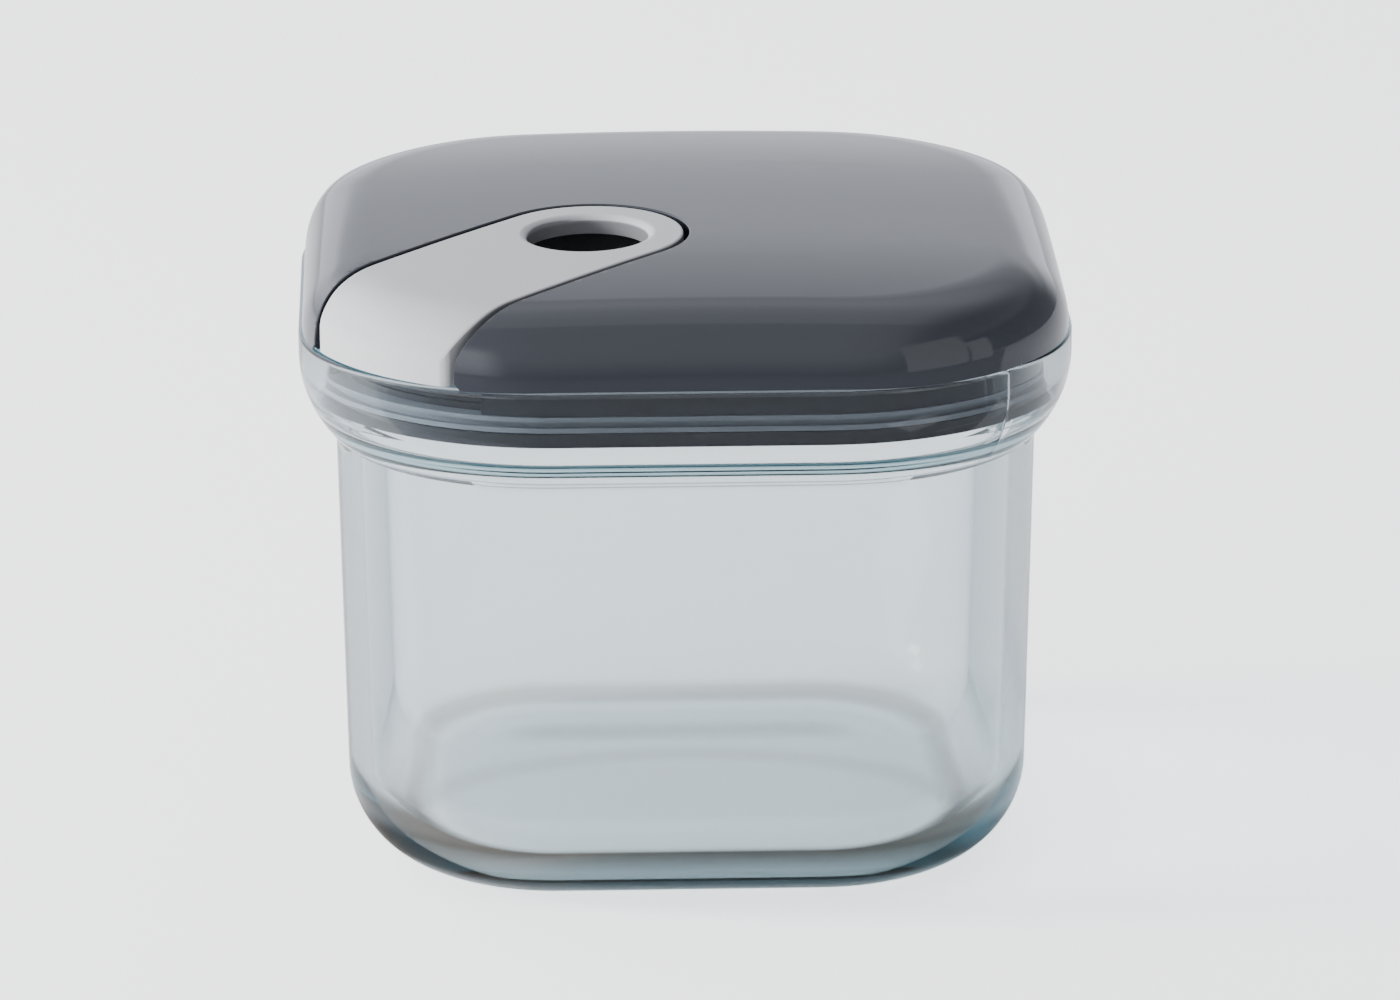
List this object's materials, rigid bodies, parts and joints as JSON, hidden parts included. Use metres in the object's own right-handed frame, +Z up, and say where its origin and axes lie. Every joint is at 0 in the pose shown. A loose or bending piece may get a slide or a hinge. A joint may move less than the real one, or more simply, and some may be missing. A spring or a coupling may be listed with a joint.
{
  "type": "lidded glass canister",
  "caption": "Rounded square glass food canister with a domed plastic lid, lip seal and a hinged finger lever that pries the lid off the rim.",
  "frame": {"origin": "middle of the flat underside of the glass jar", "axes": "+Z up through the lid, +X to the right and +Y to the back as seen from the front, with the lever pointing at the front left corner (-X, -Y)"},
  "size_m": [0.12, 0.12, 0.0998],
  "materials": {
    "clear_glass": "clear pressed soda-lime glass, faintly green in its thick edges",
    "slate_gloss": "high gloss slate grey moulding",
    "dark_inner": "fine matt dark moulding",
    "screw_steel": "plain stainless steel",
    "pin_steel": "drawn stainless steel",
    "slate_inner": "satin slate grey moulding",
    "seal_silicone": "soft grey silicone",
    "pale_satin": "satin pale warm grey moulding"
  },
  "bodies": {
    "jar": {"glass_jar": "clear_glass"},
    "lid": {"lid_cover": "slate_gloss", "lever_tray": "dark_inner", "tray_screws": "screw_steel", "hinge_pin": "pin_steel", "lid_base": "slate_inner", "lid_gasket": "seal_silicone"},
    "lever": {"lever": "pale_satin"}
  },
  "joints": [
    {"name": "lid_lift", "type": "slide", "parent": "jar", "child": "lid", "axis": [0, 0, 1], "range_m": [0, 0.06]},
    {"name": "lever_pivot", "type": "hinge", "parent": "lid", "child": "lever", "pos_m": [-0.04031, -0.04031, 0.0915], "axis": [0.7071, -0.7071, 0], "range_deg": [0, 25]}
  ],
  "couplings": [
    {"joint": "lever_pivot", "follows": "lid_lift", "rad_per_m": 7.27}
  ]
}
